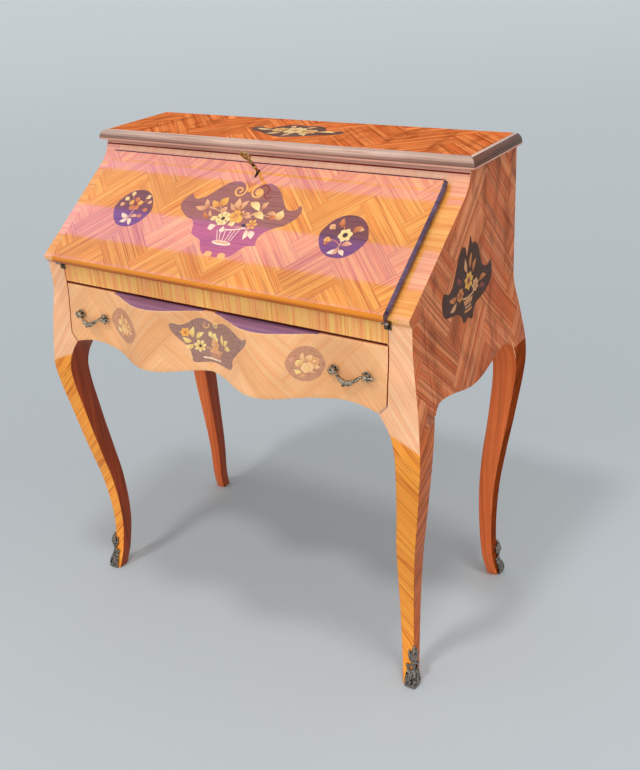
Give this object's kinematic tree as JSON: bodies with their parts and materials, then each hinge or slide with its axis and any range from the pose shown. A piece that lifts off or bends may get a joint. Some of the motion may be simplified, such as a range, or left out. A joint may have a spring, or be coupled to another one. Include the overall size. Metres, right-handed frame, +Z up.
{
  "type": "slant-front writing bureau",
  "caption": "Slant-front writing bureau in floral marquetry: fall front on stays over a bowed drawer, fitted interior, cabriole legs with cast sabots.",
  "frame": {"origin": "on the floor, under the middle of the bureau's bounding box", "axes": "+X to the sitter's right as seen from the front, +Y to the back, +Z up; the drawer and the fall open towards -Y"},
  "size_m": [0.8606, 0.482, 0.96],
  "materials": {
    "tulipwood": "satin varnish over quartered veneer",
    "crossband": "satin varnish over crossbanded veneer",
    "moulding": "dark stain, waxed",
    "oak": "plain, dull",
    "leather": "smooth",
    "bronze": "aged dark bronze",
    "brass": "satin",
    "steel": "dull"
  },
  "bodies": {
    "carcase": {"back_panel": "oak", "desk_board": "oak", "drawer_runner_left": "oak", "drawer_runner_right": "oak", "frieze_rail": "crossband", "hinge_case_leaf_left": "steel", "hinge_case_leaf_right": "steel", "interior_shelf": "oak", "interior_wall_left": "oak", "interior_wall_middle": "oak", "interior_wall_right": "oak", "leg_back_left": "tulipwood", "leg_back_right": "tulipwood", "leg_front_left": "tulipwood", "leg_front_right": "tulipwood", "lock_keep": "brass", "sabot_back_left": "bronze", "sabot_back_right": "bronze", "sabot_front_left": "bronze", "sabot_front_right": "bronze", "side_panel_left": "tulipwood", "side_panel_right": "tulipwood", "slope_stile_left": "tulipwood", "slope_stile_right": "tulipwood", "stay_case_bracket_left": "brass", "stay_case_bracket_right": "brass", "top_board": "tulipwood", "top_moulding_front": "moulding", "top_moulding_left": "moulding", "top_moulding_right": "moulding", "top_rail": "tulipwood"},
    "fall": {"fall_front": "tulipwood", "keyhole_liner": "brass", "writing_leather": "leather", "lock_case": "steel", "hinge_lid_leaf_left": "steel", "hinge_lid_leaf_right": "steel", "stay_lid_bracket_left": "brass", "stay_lid_bracket_right": "brass"},
    "key": {"key": "brass"},
    "bolt": {"lock_bolt": "brass"},
    "drawer": {"drawer_front": "tulipwood", "drawer_side_left": "oak", "drawer_side_right": "oak", "drawer_back": "oak", "drawer_bottom": "oak", "handle_mount_left_inner": "bronze", "handle_mount_left_outer": "bronze", "handle_mount_right_inner": "bronze", "handle_mount_right_outer": "bronze"},
    "case_arm_left": {"stay_case_arm_left": "brass"},
    "lid_arm_left": {"stay_lid_arm_left": "brass"},
    "bail_left": {"handle_bail_left": "bronze"},
    "nest_left": {"interior_drawer_left": "tulipwood", "interior_knob_left": "brass"},
    "case_arm_right": {"stay_case_arm_right": "brass"},
    "lid_arm_right": {"stay_lid_arm_right": "brass"},
    "bail_right": {"handle_bail_right": "bronze"},
    "nest_right": {"interior_drawer_right": "tulipwood", "interior_knob_right": "brass"}
  },
  "joints": [
    {"name": "fall_hinge", "type": "hinge", "parent": "carcase", "child": "fall", "pos_m": [0, -0.19408, 0.74845], "axis": [1, 0, 0], "range_deg": [0, 144]},
    {"name": "key_turn", "type": "hinge", "parent": "fall", "child": "key", "pos_m": [0, 0.00556, 0.90035], "axis": [0, -0.6691, 0.7431], "range_deg": [0, 90]},
    {"name": "bolt_slide", "type": "slide", "parent": "fall", "child": "bolt", "axis": [0, 0.7431, 0.6691], "range_m": [0, 0.007]},
    {"name": "drawer_slide", "type": "slide", "parent": "carcase", "child": "drawer", "axis": [0, -1, 0], "range_m": [0, 0.21]},
    {"name": "case_arm_hinge_left", "type": "hinge", "parent": "carcase", "child": "case_arm_left", "pos_m": [-0.3443, -0.07415, 0.75245], "axis": [1, 0, 0], "range_deg": [0, 144]},
    {"name": "lid_arm_hinge_left", "type": "hinge", "parent": "fall", "child": "lid_arm_left", "pos_m": [-0.3417, -0.0947, 0.81571], "axis": [1, 0, 0], "range_deg": [-144, 0]},
    {"name": "bail_hinge_left", "type": "hinge", "parent": "drawer", "child": "bail_left", "pos_m": [-0.2983, -0.20067, 0.6475], "axis": [-1, 0, 0], "range_deg": [0, 85]},
    {"name": "nest_slide_left", "type": "slide", "parent": "carcase", "child": "nest_left", "axis": [0, -1, 0], "range_m": [0, 0.1]},
    {"name": "case_arm_hinge_right", "type": "hinge", "parent": "carcase", "child": "case_arm_right", "pos_m": [0.3443, -0.07415, 0.75245], "axis": [1, 0, 0], "range_deg": [0, 144]},
    {"name": "lid_arm_hinge_right", "type": "hinge", "parent": "fall", "child": "lid_arm_right", "pos_m": [0.3417, -0.0947, 0.81571], "axis": [1, 0, 0], "range_deg": [-144, 0]},
    {"name": "bail_hinge_right", "type": "hinge", "parent": "drawer", "child": "bail_right", "pos_m": [0.2983, -0.20067, 0.6475], "axis": [-1, 0, 0], "range_deg": [0, 85]},
    {"name": "nest_slide_right", "type": "slide", "parent": "carcase", "child": "nest_right", "axis": [0, -1, 0], "range_m": [0, 0.1]}
  ],
  "couplings": [
    {"joint": "bolt_slide", "follows": "key_turn", "m_per_rad": 0.00445},
    {"joint": "case_arm_hinge_left", "follows": "fall_hinge", "ratio": 1},
    {"joint": "lid_arm_hinge_left", "follows": "fall_hinge", "ratio": -1},
    {"joint": "case_arm_hinge_right", "follows": "fall_hinge", "ratio": 1},
    {"joint": "lid_arm_hinge_right", "follows": "fall_hinge", "ratio": -1}
  ]
}
